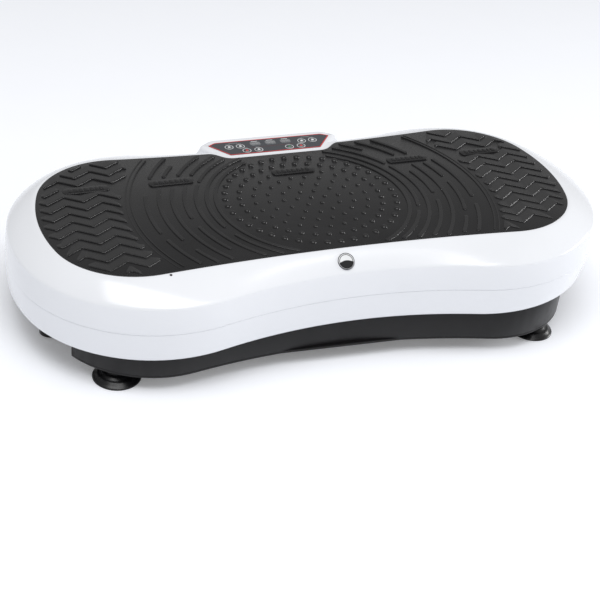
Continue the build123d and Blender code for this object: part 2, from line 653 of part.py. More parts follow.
def build_platform():
    shell_screws = make_shell_screws()
    deck_bolts = make_deck_bolts()
    panel_screws = make_panel_screws()
    window = make_remote_window()
    badge_seat = BADGE_PLACE * Cylinder(BADGE_R, BADGE_T)
    nodes = {
        "top_shell": minus(make_top_shell(), shell_screws + [badge_seat, window]),
        "lower_skirt": minus(make_lower_skirt(), shell_screws),
        "standing_mat": make_standing_mat(),
        "shell_screws": shell_screws,
        "deck_plate": minus(make_deck_plate(), deck_bolts),
        "deck_bolts": deck_bolts,
        "platform_rails": [minus(make_platform_rail(side), deck_bolts) for side in (-1, 1)],
        "pivot_lugs": [make_pivot_lug(side) for side in (-1, 1)],
        "rocking_shaft": make_rocking_shaft(),
        "rod_bracket": make_rod_bracket(),
        "wrist_pin": make_wrist_pin(),
        "panel_housing": minus(make_panel_housing(), panel_screws),
        "panel_overlay": make_panel_overlay(),
        "display_windows": make_display_windows(),
        "panel_board": minus(make_panel_board(), panel_screws),
        "panel_screws": panel_screws,
        "front_badge": make_front_badge(),
        "remote_window": window,
    }
    for name, (x, y) in key_spots().items():
        nodes[f"key_{name}"] = make_key(x, y)
    return {name: rest(shape) for name, shape in nodes.items()}


def build_base():
    studs = make_cup_studs()
    bottom_screws = make_bottom_screws()
    bracket_bolts = make_bracket_bolts()
    anchor_screws = make_anchor_screws()
    nodes = {
        "base_tray": minus(make_base_tray(), studs + bottom_screws + anchor_screws),
        "bottom_plate": minus(make_bottom_plate(), studs + bottom_screws),
        "bottom_screws": bottom_screws,
        "cup_studs": studs,
        "base_rails": [minus(make_base_rail(side), bracket_bolts) for side in (-1, 1)],
        "crossmembers": [make_crossmember(side) for side in (-1, 1)],
        "pivot_bushes": make_pivot_bushes(),
        "bracket_bolts": bracket_bolts,
        "drive_plate": make_drive_plate(),
        "motor_case": make_motor_case(),
        "motor_end_cap": make_motor_end_cap(),
        "motor_cradle": make_motor_cradle(),
        "bearing_blocks": [make_bearing_block(y) for y in BLOCK_Y],
        "shaft_bearings": make_shaft_bearings(),
        "drive_belt": make_drive_belt(),
        "control_board": make_control_board(),
        "control_cover": make_control_cover(),
        "mains_inlet": make_mains_inlet(),
        "anchor_bars": [make_anchor_bar(side) for side in (-1, 1)],
        "anchor_screws": anchor_screws,
    }
    for name, side in (("front", -1), ("rear", 1)):
        nodes[f"pivot_bracket_{name}"] = minus(make_pivot_bracket(side), bracket_bolts)
    for name, side in (("left", -1), ("right", 1)):
        nodes[f"band_anchor_{name}"] = minus(make_band_anchor(side), anchor_screws)
        for row, sy in (("front", -1), ("rear", 1)):
            nodes[f"suction_cup_{row}_{name}"] = make_suction_cup(side * CUP_X, sy * CUP_Y)
    return nodes


def build_drive():
    return {
        "eccentric_shaft": make_eccentric_shaft(),
        "driven_pulley": make_driven_pulley(),
        "motor_rotor": make_motor_rotor(),
        "motor_pulley": make_motor_pulley(),
        "connecting_rod": make_connecting_rod(),
        "power_rocker": make_power_rocker(),
    }


os.makedirs("parts", exist_ok=True)
nodes = {**build_platform(), **build_base(), **build_drive()}
for node, shape in nodes.items():
    if isinstance(shape, list):
        shape = Compound(children=shape)
    export_step(shape, f"parts/{node}.step")
print(len(nodes), "nodes")
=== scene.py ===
"""Looks of the see-saw vibration plate: shells, mat, prints, feet, materials, light, camera.

Lengths are millimetres until they reach a mesh. Pieces of the platform are built level, with the
floor at z = 0, and turned to the stored pose by REST, which is half of the rocking joint's range.
"""
import json
from math import atan2, cos, hypot, pi, radians, sin, sqrt, tau

import bmesh
import bpy
from mathutils import Matrix, Vector


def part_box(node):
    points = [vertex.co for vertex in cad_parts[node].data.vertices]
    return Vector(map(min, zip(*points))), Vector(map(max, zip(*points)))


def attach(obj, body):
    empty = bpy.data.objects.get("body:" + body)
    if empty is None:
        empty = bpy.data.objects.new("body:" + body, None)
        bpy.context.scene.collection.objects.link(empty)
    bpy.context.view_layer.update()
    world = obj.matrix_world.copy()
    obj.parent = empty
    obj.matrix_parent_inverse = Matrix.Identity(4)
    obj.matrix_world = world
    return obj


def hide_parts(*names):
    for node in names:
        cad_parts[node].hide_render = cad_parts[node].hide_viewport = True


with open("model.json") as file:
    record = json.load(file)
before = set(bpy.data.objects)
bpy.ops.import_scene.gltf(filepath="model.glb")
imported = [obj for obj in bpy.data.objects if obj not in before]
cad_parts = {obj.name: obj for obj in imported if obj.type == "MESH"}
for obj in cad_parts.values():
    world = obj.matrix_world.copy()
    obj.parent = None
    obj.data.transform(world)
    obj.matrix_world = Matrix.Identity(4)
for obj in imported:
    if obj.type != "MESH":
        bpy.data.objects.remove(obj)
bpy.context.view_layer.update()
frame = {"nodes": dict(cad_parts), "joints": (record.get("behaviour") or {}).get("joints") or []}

# ---- Driving dimensions, level platform -----------------------------------------------------
MM = 0.001
ROCK = next(joint for joint in frame["joints"] if joint["name"] == "platform_rock")
PIVOT = Vector(ROCK["pos_m"])
REST_TILT = radians(ROCK["range_deg"][1] / 2)
REST = (Matrix.Translation(PIVOT) @ Matrix.Rotation(-REST_TILT, 4, "Y")
        @ Matrix.Translation(-PIVOT))
LEVEL = Matrix.Identity(4)

STAND_Z = 145.0                 # the standing surface
# Outlines: half length, half width at the shoulders, half width at the waist, shoulder radius
# and end radius
MAT_OUTLINE = (335.0, 138.5, 127.8, 99.5, 241.5)
CREASE_OUTLINE = (373.4, 180.6, 153.4, 166.9, 230.4)
SKIRT_FOOT_OUTLINE = (371.9, 183.9, 156.7, 166.9, 230.4)
SHELL_TOP_Z = STAND_Z - 2.5
SHELL_T = 3.0
LIP = 3.0                       # white edge that shows round the mat
SHELL_SHIFT = 4.0               # how far the shell's widest part stands to the right of the mat
CREASE_Z = STAND_Z - 21.9
PARTING_Z = PIVOT.z / MM
PARTING_OFFSET = 3.4            # the wall flares by this much from the crease to the parting line
SKIRT_FOOT_Z = STAND_Z - 88.2
PANEL_Z = STAND_Z - 2.3
FILM_Z = PANEL_Z + 0.6
PANEL_X = -4.0                  # the panel's middle, left of the mat's

# ---- Plan curves ----------------------------------------------------------------------------
END_STEPS, SHOULDER_STEPS, WAIST_STEPS = 26, 26, 22
CORNER_SHARE = 0.45             # the most of a side that the turn at one of its ends may take
MITRE_LIMIT = 0.3               # least cosine used for a mitre, which keeps sharp corners short


def arc_points(cx, cy, r, start, end, steps):
    """Points along an arc, its first one included and its last one left to the next arc."""
    spread = [start + (end - start) * i / steps for i in range(steps)]
    return [(cx + r * cos(a), cy + r * sin(a)) for a in spread]


def circle(cx, cy, r, steps=40):
    return arc_points(cx, cy, r, 0, tau, steps)


def oblong(cx, cy, width, height):
    """Corners of a rectangle about a point, counter-clockwise from the lower left."""
    half_x, half_y = width / 2, height / 2
    return [(cx - half_x, cy - half_y), (cx + half_x, cy - half_y),
            (cx + half_x, cy + half_y), (cx - half_x, cy + half_y)]


def outline(size):
    """Closed plan outline, counter-clockwise from the +X tip: end, shoulder and waist arcs."""
    half_length, half_width, waist, r_shoulder, r_end = size
    end_x = half_length - r_end
    shoulder_y = half_width - r_shoulder
    shoulder_x = end_x + sqrt((r_end - r_shoulder) ** 2 - shoulder_y ** 2)
    waist_reach = shoulder_x ** 2 + (waist - shoulder_y) ** 2 - r_shoulder ** 2
    r_waist = waist_reach / (2 * (half_width - waist))
    end_turn = atan2(shoulder_y, shoulder_x - end_x)
    waist_turn = atan2(waist + r_waist - shoulder_y, -shoulder_x)
    quarter = arc_points(end_x, 0, r_end, 0, end_turn, END_STEPS)
    quarter += arc_points(shoulder_x, shoulder_y, r_shoulder, end_turn, waist_turn, SHOULDER_STEPS)
    quarter += arc_points(0, waist + r_waist, r_waist, waist_turn - pi, -pi / 2, WAIST_STEPS)
    half = quarter + [(0, waist)] + [(-x, y) for x, y in reversed(quarter)]
    return half + [(x, -y) for x, y in reversed(half[1:-1])]


def grown(size, d):
    """The same outline offset outwards by d."""
    return tuple(value + d for value in size)


def lerp(a, b, t):
    return tuple(p + (q - p) * t for p, q in zip(a, b))


def bezier(a, b, c, steps):
    """Points of the curve that leaves a towards b and reaches c, both ends included."""
    shares = [i / steps for i in range(steps + 1)]
    return [lerp(lerp(a, b, t), lerp(b, c, t), t) for t in shares]


def inset_ring(points, d):
    """A closed counter-clockwise polygon moved inwards by d, with mitred corners."""
    moved = []
    for i, (x, y) in enumerate(points):
        (x0, y0), (x1, y1) = points[i - 1], points[(i + 1) % len(points)]
        a = Vector((x - x0, y - y0)).normalized()
        b = Vector((x1 - x, y1 - y)).normalized()
        inward = Vector((-a.y - b.y, a.x + b.x)).normalized()
        reach = d / max(MITRE_LIMIT, inward.dot(Vector((-a.y, a.x))))
        moved.append((x + inward.x * reach, y + inward.y * reach))
    return moved


def corner_turn(before, corner, after, radius, steps):
    """Curve in place of a corner, from radius ahead of it to radius past it."""
    here = Vector(corner)
    back, ahead = Vector(before) - here, Vector(after) - here
    start = here + back.normalized() * min(radius, back.length * CORNER_SHARE)
    end = here + ahead.normalized() * min(radius, ahead.length * CORNER_SHARE)
    return bezier(tuple(start), corner, tuple(end), steps)


def rounded(corners, radius, steps=6):
    """A closed polygon with a curve in place of each corner."""
    ring = []
    for i, corner in enumerate(corners):
        after = corners[(i + 1) % len(corners)]
        ring += corner_turn(corners[i - 1], corner, after, radius, steps)
    return ring


def inside(polygon, x, y):
    """True where the point lies within the closed polygon."""
    hit = False
    for (x0, y0), (x1, y1) in zip(polygon, polygon[1:] + polygon[:1]):
        if (y0 > y) != (y1 > y) and x < x0 + (x1 - x0) * (y - y0) / (y1 - y0):
            hit = not hit
    return hit


def at_height(points, z):
    return [(x, y, z) for x, y in points]


# ---- Mesh building --------------------------------------------------------------------------
LEAST_R = 0.001                 # a lathe's axis point is a ring of this radius
EDGE_BREAK = 0.3                # share of a plate's edge radius at the middle of its turn


class Form:
    """Vertices and faces of a piece in the making. Each face keeps the number of its material."""

    def __init__(self):
        self.verts, self.faces, self.inks = [], [], []

    def add(self, verts, faces, ink=0):
        first = len(self.verts)
        self.verts += verts
        self.faces += [[first + i for i in face] for face in faces]
        self.inks += [ink] * len(faces)

    def loft(self, rings, ink=0, loop=False):
        """Walls between rings of equal length. A loop joins the last ring to the first, and
        anything else gets a face at each end."""
        n, count = len(rings[0]), len(rings)
        faces = []
        for k in range(count if loop else count - 1):
            low, high = k * n, (k + 1) % count * n
            for i in range(n):
                j = (i + 1) % n
                faces.append([low + i, low + j, high + j, high + i])
        if not loop:
            faces += [list(range(n))[::-1], list(range((count - 1) * n, count * n))]
        self.add([point for ring in rings for point in ring], faces, ink)

    def plate(self, points, z_low, z_high, edge=0.0, ink=0):
        """A flat plate with a small rounded edge at its top."""
        rings = [at_height(points, z_low), at_height(points, z_high - edge)]
        if edge:
            turn = edge * EDGE_BREAK
            rings += [at_height(inset_ring(points, turn), z_high - turn),
                      at_height(inset_ring(points, edge), z_high)]
        self.loft(rings, ink)

    def ring_plate(self, outer, inner, z_low, z_high, ink=0):
        """A flat band between two closed curves of equal length."""
        self.loft([at_height(inner, z_low), at_height(outer, z_low),
                   at_height(outer, z_high), at_height(inner, z_high)], ink, loop=True)

    def lathe(self, profile, place=LEVEL, steps=48, ink=0):
        """Turns (radius, height) points about the local Z axis. A radius of 0 closes an end."""
        rings = [at_height(circle(0, 0, max(r, LEAST_R), steps), z) for r, z in profile]
        self.loft([[place @ Vector(point) for point in ring] for ring in rings], ink)

    def piece(self, name, body, materials, place=REST, replaces=(), sharp=32):
        """Makes the object, in metres, parents it to its body's empty and hides the CAD parts it
        replaces.
        """
        mesh = bpy.data.meshes.new(name)
        mesh.from_pydata([place @ (Vector(v) * MM) for v in self.verts], [], self.faces)
        build = bmesh.new()
        build.from_mesh(mesh)
        bmesh.ops.recalc_face_normals(build, faces=build.faces)
        build.to_mesh(mesh)
        build.free()
        for material in materials:
            mesh.materials.append(material)
        mesh.polygons.foreach_set("material_index", self.inks)
        mesh.shade_smooth()
        mesh.set_sharp_from_angle(angle=radians(sharp))
        made = bpy.data.objects.new(name, mesh)
        bpy.context.scene.collection.objects.link(made)
        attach(made, body)
        if replaces:
            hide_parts(*replaces)
        return made


# ---- Materials ------------------------------------------------------------------------------
NOISE_LOW, NOISE_HIGH = 0.3, 0.7        # nearly all of a noise texture lies between these
DRIFT_SCALE, DRIFT_DETAIL = 14.0, 4.0
GRAIN_DETAIL = 3.0
NOISE_ROUGHNESS = 0.6
COAT_ROUGHNESS = 0.15
LEAST_ROUGHNESS = 0.02


def material(name, color, rough, grain=600.0, bump=0.02, depth=0.2, metal=0.0, shade=0.12,
             spread=0.08, coat=0.0, streak=None, specular=0.5):
    """Procedural finish: broad colour drift, fine grain in the bump, roughness that varies.

    grain is the grain's scale per metre, bump its strength, depth its height in millimetres,
    shade how much the colour drifts, spread how much the roughness does, and streak stretches
    both along an axis.
    """
    made = bpy.data.materials.new(name)
    made.use_nodes = True
    tree = made.node_tree
    shader = tree.nodes["Principled BSDF"]
    shader.inputs["Metallic"].default_value = metal
    shader.inputs["Specular IOR Level"].default_value = specular
    shader.inputs["Coat Weight"].default_value = coat
    shader.inputs["Coat Roughness"].default_value = COAT_ROUGHNESS
    made.diffuse_color = (*color, 1)

    def node(kind, **inputs):
        added = tree.nodes.new(kind)
        for key, value in inputs.items():
            added.inputs[key.replace("_", " ")].default_value = value
        return added

    place = tree.nodes.new("ShaderNodeTexCoord").outputs["Object"]
    stretch = node("ShaderNodeMapping", Scale=streak or (1, 1, 1))
    tree.links.new(place, stretch.inputs["Vector"])
    drift = node("ShaderNodeTexNoise", Scale=DRIFT_SCALE, Detail=DRIFT_DETAIL,
                 Roughness=NOISE_ROUGHNESS)
    fine = node("ShaderNodeTexNoise", Scale=grain, Detail=GRAIN_DETAIL, Roughness=NOISE_ROUGHNESS)
    for noise in (drift, fine):
        tree.links.new(stretch.outputs["Vector"], noise.inputs["Vector"])

    ramp = tree.nodes.new("ShaderNodeValToRGB")
    darker, lighter = ramp.color_ramp.elements
    darker.position, lighter.position = NOISE_LOW, NOISE_HIGH
    darker.color = (*[c * (1 - shade) for c in color], 1)
    lighter.color = (*[min(1.0, c * (1 + shade)) for c in color], 1)
    tree.links.new(drift.outputs["Fac"], ramp.inputs["Fac"])
    tree.links.new(ramp.outputs["Color"], shader.inputs["Base Color"])

    gloss = node("ShaderNodeMapRange", From_Min=NOISE_LOW, From_Max=NOISE_HIGH,
                 To_Min=max(LEAST_ROUGHNESS, rough - spread), To_Max=min(1.0, rough + spread))
    tree.links.new(fine.outputs["Fac"], gloss.inputs["Value"])
    tree.links.new(gloss.outputs["Result"], shader.inputs["Roughness"])

    relief = node("ShaderNodeBump", Strength=bump, Distance=depth * MM)
    tree.links.new(fine.outputs["Fac"], relief.inputs["Height"])
    tree.links.new(relief.outputs["Normal"], shader.inputs["Normal"])
    return made


def print_ink(name, color, shade=0.05):
    return material(name, color, 0.35, grain=1200, bump=0.08, depth=0.02, shade=shade)


WHITE = material("white_abs", (0.81, 0.825, 0.86), 0.19, grain=160, bump=0.01, depth=0.05,
                 shade=0.01, spread=0.008, coat=0.25)
RUBBER = material("mat_rubber", (0.010, 0.0098, 0.0106), 0.27, grain=420, bump=0.3, depth=0.12,
                  shade=0.25, spread=0.07, specular=0.44)
BLACK = material("black_moulding", (0.011, 0.0105, 0.011), 0.36, grain=1800, bump=0.22,
                 depth=0.06, shade=0.15, spread=0.06, specular=0.22)
CUP = material("cup_rubber", (0.006, 0.006, 0.007), 0.3, grain=900, bump=0.1, depth=0.06,
               shade=0.2, spread=0.06, specular=0.4)
FRAME_PAINT = material("powder_coat", (0.045, 0.045, 0.05), 0.5, grain=1500, bump=0.4, depth=0.1)
STEEL = material("bright_steel", (0.60, 0.60, 0.62), 0.28, grain=500, bump=0.1, depth=0.03,
                 metal=1.0, streak=(1, 8, 1))
MOTOR_PAINT = material("motor_paint", (0.10, 0.10, 0.11), 0.4, grain=900, bump=0.2, depth=0.05)
ALLOY = material("cast_alloy", (0.58, 0.59, 0.60), 0.45, grain=700, bump=0.5, depth=0.15,
                 metal=1.0, spread=0.12)
BRONZE = material("sintered_bronze", (0.50, 0.36, 0.17), 0.4, grain=1600, bump=0.3, depth=0.05,
                  metal=1.0)
BELT = material("belt_rubber", (0.022, 0.022, 0.022), 0.7, grain=1200, bump=0.5, depth=0.1,
                streak=(1, 4, 1))
BOARD = material("circuit_board", (0.02, 0.13, 0.055), 0.35, grain=400, bump=0.2, depth=0.05,
                 shade=0.3)
FILM = material("panel_film", (0.058, 0.062, 0.070), 0.32, grain=1500, bump=0.12, depth=0.03,
                shade=0.08, specular=0.3)
WINDOW = material("display_window", (0.20, 0.205, 0.215), 0.12, grain=800, depth=0.02, shade=0.06)
KEY = material("key_cap", (0.050, 0.054, 0.062), 0.34, grain=1500, bump=0.12, depth=0.03,
               shade=0.08)
RED_INK = print_ink("red_ink", (0.62, 0.03, 0.03))
WHITE_INK = print_ink("white_ink", (0.74, 0.75, 0.76), shade=0.04)
DARK_RED_INK = material("dark_red_ink", (0.16, 0.03, 0.03), 0.5)
GREEN_INK = print_ink("green_ink", (0.05, 0.22, 0.10))
GREY_INK = print_ink("grey_ink", (0.30, 0.31, 0.32))
BADGE_METAL = material("badge_metal", (0.10, 0.10, 0.11), 0.25, grain=900, bump=0.03, depth=0.02,
                       metal=1.0, spread=0.04)
BADGE_BLACK = material("badge_enamel", (0.008, 0.008, 0.009), 0.4, grain=500, depth=0.02,
                       specular=0.2)
REMOTE_LENS = material("remote_lens", (0.02, 0.008, 0.012), 0.08, grain=500, bump=0.01,
                       depth=0.01, coat=0.5)
SWITCH = material("switch_cap", (0.35, 0.02, 0.02), 0.25, grain=900, bump=0.05, depth=0.02)

NODE_FINISH = {
    FRAME_PAINT: ("deck_plate", "platform_rails", "base_rails", "crossmembers", "pivot_lugs",
                  "rod_bracket", "pivot_bracket_front", "pivot_bracket_rear", "drive_plate",
                  "motor_cradle"),
    STEEL: ("shell_screws", "deck_bolts", "panel_screws", "bottom_screws", "bracket_bolts",
            "anchor_screws", "cup_studs", "anchor_bars", "rocking_shaft", "wrist_pin",
            "eccentric_shaft", "motor_rotor", "shaft_bearings"),
    MOTOR_PAINT: ("motor_case", "motor_end_cap"),
    ALLOY: ("bearing_blocks", "driven_pulley", "motor_pulley", "connecting_rod"),
    BRONZE: ("pivot_bushes",),
    BELT: ("drive_belt",),
    BOARD: ("panel_board", "control_board"),
    FILM: ("panel_overlay",),
    WINDOW: ("display_windows",),
    REMOTE_LENS: ("remote_window",),
    SWITCH: ("power_rocker",),
    BLACK: ("base_tray", "bottom_plate", "band_anchor_left", "band_anchor_right", "mains_inlet",
            "control_cover"),
    KEY: tuple(name for name in frame["nodes"] if name.startswith("key_")),
}
WELD_GAP = 0.01
EDGE_WIDTH = 0.25
EDGE_ANGLE = 40


def dress_cad_nodes():
    """The CAD nodes that stay in view keep their meshes and get a finish and a small bevel."""
    for finish, names in NODE_FINISH.items():
        for name in names:
            node = frame["nodes"][name]
            for material_slot in node.material_slots:
                material_slot.material = finish
            weld = node.modifiers.new("weld", "WELD")
            weld.merge_threshold = WELD_GAP * MM
            bevel = node.modifiers.new("edge", "BEVEL")
            bevel.width = EDGE_WIDTH * MM
            bevel.segments = 2
            bevel.limit_method = "ANGLE"
            bevel.angle_limit = radians(EDGE_ANGLE)
            bevel.use_clamp_overlap = True
            bevel.harden_normals = True


# ---- Shells ---------------------------------------------------------------------------------
# A level is an outline's five numbers with the height it stands at.
MAT_BED = 25.0                  # how far the shell's flat top reaches in under the mat
RIM_BOW, WALL_BOW, SKIRT_BOW = 1.6, 0.5, 0.3
RIM_STEPS, WALL_STEPS = 24, 20
LIP_TURN, FOOT_TURN = 0.05, 0.3         # shares of the way to the next level where they start
SKIRT_STEP = 0.3                # the skirt stands in by this much below the parting line
SKIRT_GAP = 0.12                # the parting line's width
FLANGE_WIDTH, FLANGE_T = 22.0, 3.0
FOOT_ROLL = 2.2


def level(size, z):
    return (*size, z)


def level_grown(at, d, z=None):
    """A level offset outwards by d, at its own height or at z."""
    return level(grown(at[:5], d), at[5] if z is None else z)


def shell_shift(z):
    """How far the shell stands to the right of the mat: not at the mat's edge, most round the
    middle, and not at the skirt's foot."""
    if z > CREASE_Z:
        return SHELL_SHIFT * (SHELL_TOP_Z - z) / (SHELL_TOP_Z - CREASE_Z)
    return SHELL_SHIFT * min(1.0, (z - SKIRT_FOOT_Z) / (PARTING_Z - SKIRT_FOOT_Z))


def rings_of(levels):
    return [at_height([(x + shell_shift(z), y) for x, y in outline(size)], z)
            for *size, z in levels]


def bowed(a, b, bow, steps, out, up):
    """Levels between a and b, pushed out and up by a bow that is largest half way."""
    levels = []
    for i in range(1, steps):
        t = i / steps
        *size, z = lerp(a, b, t)
        push = 4 * t * (1 - t) * bow
        levels.append(level(grown(size, push * out), z + push * up))
    return levels


def make_top_shell():
    """One gloss moulding: a flat top, a softly bowed rim down to the crease, a flared wall."""
    flat = level(grown(MAT_OUTLINE, -MAT_BED), SHELL_TOP_Z)
    edge = level(grown(MAT_OUTLINE, LIP), SHELL_TOP_Z)
    crease = level(CREASE_OUTLINE, CREASE_Z)
    foot = level(grown(CREASE_OUTLINE, PARTING_OFFSET), PARTING_Z)
    slope = atan2(SHELL_TOP_Z - CREASE_Z, CREASE_OUTLINE[2] - MAT_OUTLINE[2] - LIP)
    rim = bowed(edge, crease, RIM_BOW, RIM_STEPS, sin(slope), cos(slope))
    wall = bowed(crease, foot, WALL_BOW, WALL_STEPS, 1.0, 0.0)
    lip_turn = bezier(lerp(edge, flat, LIP_TURN), edge, rim[1], 6)
    crease_turn = bezier(rim[-2], crease, wall[0], 10)
    foot_turn = bezier(lerp(foot, wall[-1], FOOT_TURN), foot, level_grown(foot, -0.6), 4)
    outer = [flat, *lip_turn, *rim[2:-2], *crease_turn, *wall[1:-1], *foot_turn]
    inner = [level_grown(foot, -SHELL_T), level_grown(crease, -SHELL_T, CREASE_Z - 1.5),
             level_grown(edge, -2, SHELL_TOP_Z - SHELL_T),
             level_grown(flat, 0, SHELL_TOP_Z - SHELL_T)]
    form = Form()
    form.loft(rings_of(outer + inner), loop=True)
    form.piece("top_shell_moulding", "platform", [WHITE], replaces=["top_shell"])


def make_lower_skirt():
    """Skirt below the parting line, standing in a little from the shell, with a rolled foot."""
    top = level(grown(CREASE_OUTLINE, PARTING_OFFSET - SKIRT_STEP), PARTING_Z - SKIRT_GAP)
    foot = level(SKIRT_FOOT_OUTLINE, SKIRT_FOOT_Z)
    wall = bowed(top, foot, SKIRT_BOW, WALL_STEPS, 1.0, 0.0)
    top_turn = bezier(level_grown(top, -0.5), top, lerp(top, wall[0], FOOT_TURN), 4)
    foot_turn = bezier(wall[-2], foot, level_grown(foot, -FOOT_ROLL), 6)
    outer = [*top_turn, *wall[:-2], *foot_turn]
    flange_z = PARTING_Z - FLANGE_T
    inner = [level_grown(foot, -SHELL_T, SKIRT_FOOT_Z + 0.6), level_grown(top, -SHELL_T, flange_z),
             level_grown(top, -FLANGE_WIDTH, flange_z), level_grown(top, -FLANGE_WIDTH)]
    form = Form()
    form.loft(rings_of(outer + inner), loop=True)
    form.piece("lower_skirt_moulding", "platform", [WHITE],
               replaces=["lower_skirt"])


# ---- Standing mat ---------------------------------------------------------------------------
SLAB_TOP_Z = STAND_Z - 2.0
SINK = 0.3                      # how deep the pattern's pieces go into the slab
SLAB_GAP = 0.3                  # between the slab's edge and the shell's lip
SLAB_EDGE = 0.5
NOTCH = ((80.5, 129.0), (63.5, 112.0), (-71.5, 112.0), (-88.5, 129.0))
NOTCH_HALF = 94.0               # the notch takes this much of the slab's edge each way
NOTCH_TURN = 9.0
RIB_MARGIN, DOT_MARGIN, TREAD_MARGIN = 3.0, 4.5, 3.5    # to the slab's edge

PLAQUE_SPOTS = ((-265.6, 65.7), (-159.4, 64.7), (0.0, 62.8), (159.4, 64.7), (265.6, 65.7))
PLAQUE_SIZE = (57.0, 15.0)
PLAQUE_TURN = 6.5
PLAQUE_H = 1.3
PLAQUE_BARS = (5.0, 5.6, 4.4, 5.6, 5.0, 3.4, 5.4)
BAR_HEIGHT, BAR_GAP, BAR_TURN = 7.2, 1.6, 0.8

PATTERN_CENTRE = (0.0, -13.3)
PATTERN_STRETCH = 1.035         # the rib rings are this much taller than wide
FIELD_R = 232.0                 # the zigzag treads lie outside this circle
RIB_W, RIB_H = 5.0, 1.2
RIB_STEP = 1.25                 # degrees
RIB_CLEAR = 4.0                 # to a plaque
# Across a rib, in half widths from its middle, and up, in rib heights
RIB_SECTION = ((-0.96, 0.62), (-0.85, 0.94), (-0.7, 1.0), (-0.6, 1.0), (0.6, 1.0), (0.7, 1.0),
               (0.85, 0.94), (0.96, 0.62))
RIB_TIP_W, RIB_TIP_H = 0.06, 0.35       # shares of width and height left at a rib's very end
RIB_TIP_SHARES = (0.08, 0.25, 0.5, 0.75)    # places of the added points in a rounded end
LINE_W = 1.8
BORDER_LINES = ((FIELD_R - 9.0, 0.9), (FIELD_R - 3.5, 0.35))    # radius and height
LEAST_RIB, LEAST_LINE = 7, 4            # shorter runs of points are left out
# Ribs: ring radius, then spans for the left and the right half in degrees from the outward X
# axis, positive towards the panel. 90 to -90 runs from edge to edge.
RIB_RINGS = (
    (119.5, ((64, -90),), ((62, -90),)),
    (130.5, ((66, -18.5), (-26, -90)), ((66, -18), (-23, -90))),
    (143.5, ((90, -90),), ((90, -90),)),
    (157.5, ((90, -5), (-12, -34), (-40, -90)), ((90, 45), (17, -5), (-11, -90))),
    (172.5, ((90, 30), (22, -90)), ((90, -90),)),
    (188.5, ((90, 50), (38, -18), (-25, -90)), ((90, 7), (3, -19), (-23, -90))),
    (204.5, ((90, 22), (14, -11), (-15, -90)), ((90, 40), (30, -9), (-14, -90))),
)

DOT_CENTRE = (0.0, -6.8)
DOT_ZONE_R = 113.5
DOT_PITCH = 17.8
DOT_CLEAR = 1.5                 # to a plaque
# Dots: ring radius, how many, dot radius, height
DOT_RINGS = (
    (0.0, 1, 2.6, 2.0),
    *((DOT_PITCH * k, 6 * k, 2.6, 2.0) for k in range(1, 5)),
    (89.0, 34, 3.4, 2.3),
    (107.0, 40, 3.9, 2.2),
    (125.0, 46, 3.9, 2.2),
)
DOME = ((1.1, -0.15), (1.05, 0.04), (0.96, 0.3), (0.84, 0.62), (0.64, 0.86), (0.4, 0.97),
        (0.16, 1.0), (0.0, 1.0))        # in dot radii and dot heights

TREAD_PITCH = 19.8              # from row to row
TREAD_ROWS = range(-7, 7)
TREAD_ROW_Y = -3.0              # the valleys of row 0
TREAD_RISE = 15.5               # from valley to peak
TREAD_HALF_WAVE = 21.5
TREAD_VALLEY = {-1: -274.3, 1: 280.0}   # X of one valley at each end
TREAD_REACH = (205.0, 330.0)    # the treads lie between these distances from the middle
TREAD_STEPS = 12                # samples in half a wave
TREAD_H = 1.5
TREAD_DEPTH = 16.0
LEAST_DEPTH, DEPTH_STEP = 3.0, 0.5
# Share of a tread's height and depth at its end, and how much that grows with each sample
TREAD_TIP_H, TREAD_TIP_DEPTH = (0.4, 0.6), (0.35, 0.13)
TREAD_FRONT = ((0.1, 0.35), (0.35, 0.72), (0.8, 0.94), (1.4, 1.0), (2.0, 0.97))
TREAD_FOOTING = 3.4             # a tread needs free slab for this much behind its front
TREAD_CLEAR = 2.5               # to a plaque
LEAST_TREAD = 10                # shorter runs of samples are left out


def mat_ring(margin):
    """Outline of the slab moved inwards by margin, with the rounded notch before the panel."""
    ring = outline(grown(MAT_OUTLINE, -SLAB_GAP))
    first = next(i for i, (x, y) in enumerate(ring) if y > 0 and x < PANEL_X + NOTCH_HALF)
    after = next(i for i, (x, y) in enumerate(ring) if y > 0 and x < PANEL_X - NOTCH_HALF)
    corners = (ring[first - 1], *NOTCH, ring[after])
    notch = []
    for a, b, c in zip(corners, corners[1:], corners[2:]):
        notch += corner_turn(a, b, c, NOTCH_TURN, 8)
    ring = ring[:first] + notch + ring[after:]
    return inset_ring(ring, margin) if margin else ring


def in_plaque(x, y, margin):
    """True within margin of one of the raised plaques."""
    half_x, half_y = (size / 2 + margin for size in PLAQUE_SIZE)
    return any(abs(x - px) < half_x and abs(y - py) < half_y for px, py in PLAQUE_SPOTS)


def add_rib(form, path, width, height):
    """A raised bar with rounded ends and shoulders along a level path on the slab."""
    half, last = width / 2, len(path) - 1
    lengths = [0.0]
    for a, b in zip(path, path[1:]):
        lengths.append(lengths[-1] + hypot(b[0] - a[0], b[1] - a[1]))
    rings = []
    for i, (x, y) in enumerate(path):
        (x0, y0), (x1, y1) = path[max(i - 1, 0)], path[min(i + 1, last)]
        along = Vector((x1 - x0, y1 - y0)).normalized()
        from_end = min(lengths[i], lengths[-1] - lengths[i])
        taper = sqrt(max(0.0, 1 - (1 - min(from_end / half, 1.0)) ** 2))
        narrow = half * max(RIB_TIP_W, taper)
        rise = height * (RIB_TIP_H + (1 - RIB_TIP_H) * taper)
        section = [(s, rise * h) for s, h in RIB_SECTION]
        rings.append([(x - along.y * narrow * s, y + along.x * narrow * s, SLAB_TOP_Z + up)
                      for s, up in ((-1.0, -SINK), *section, (1.0, -SINK))])
    form.loft(rings)


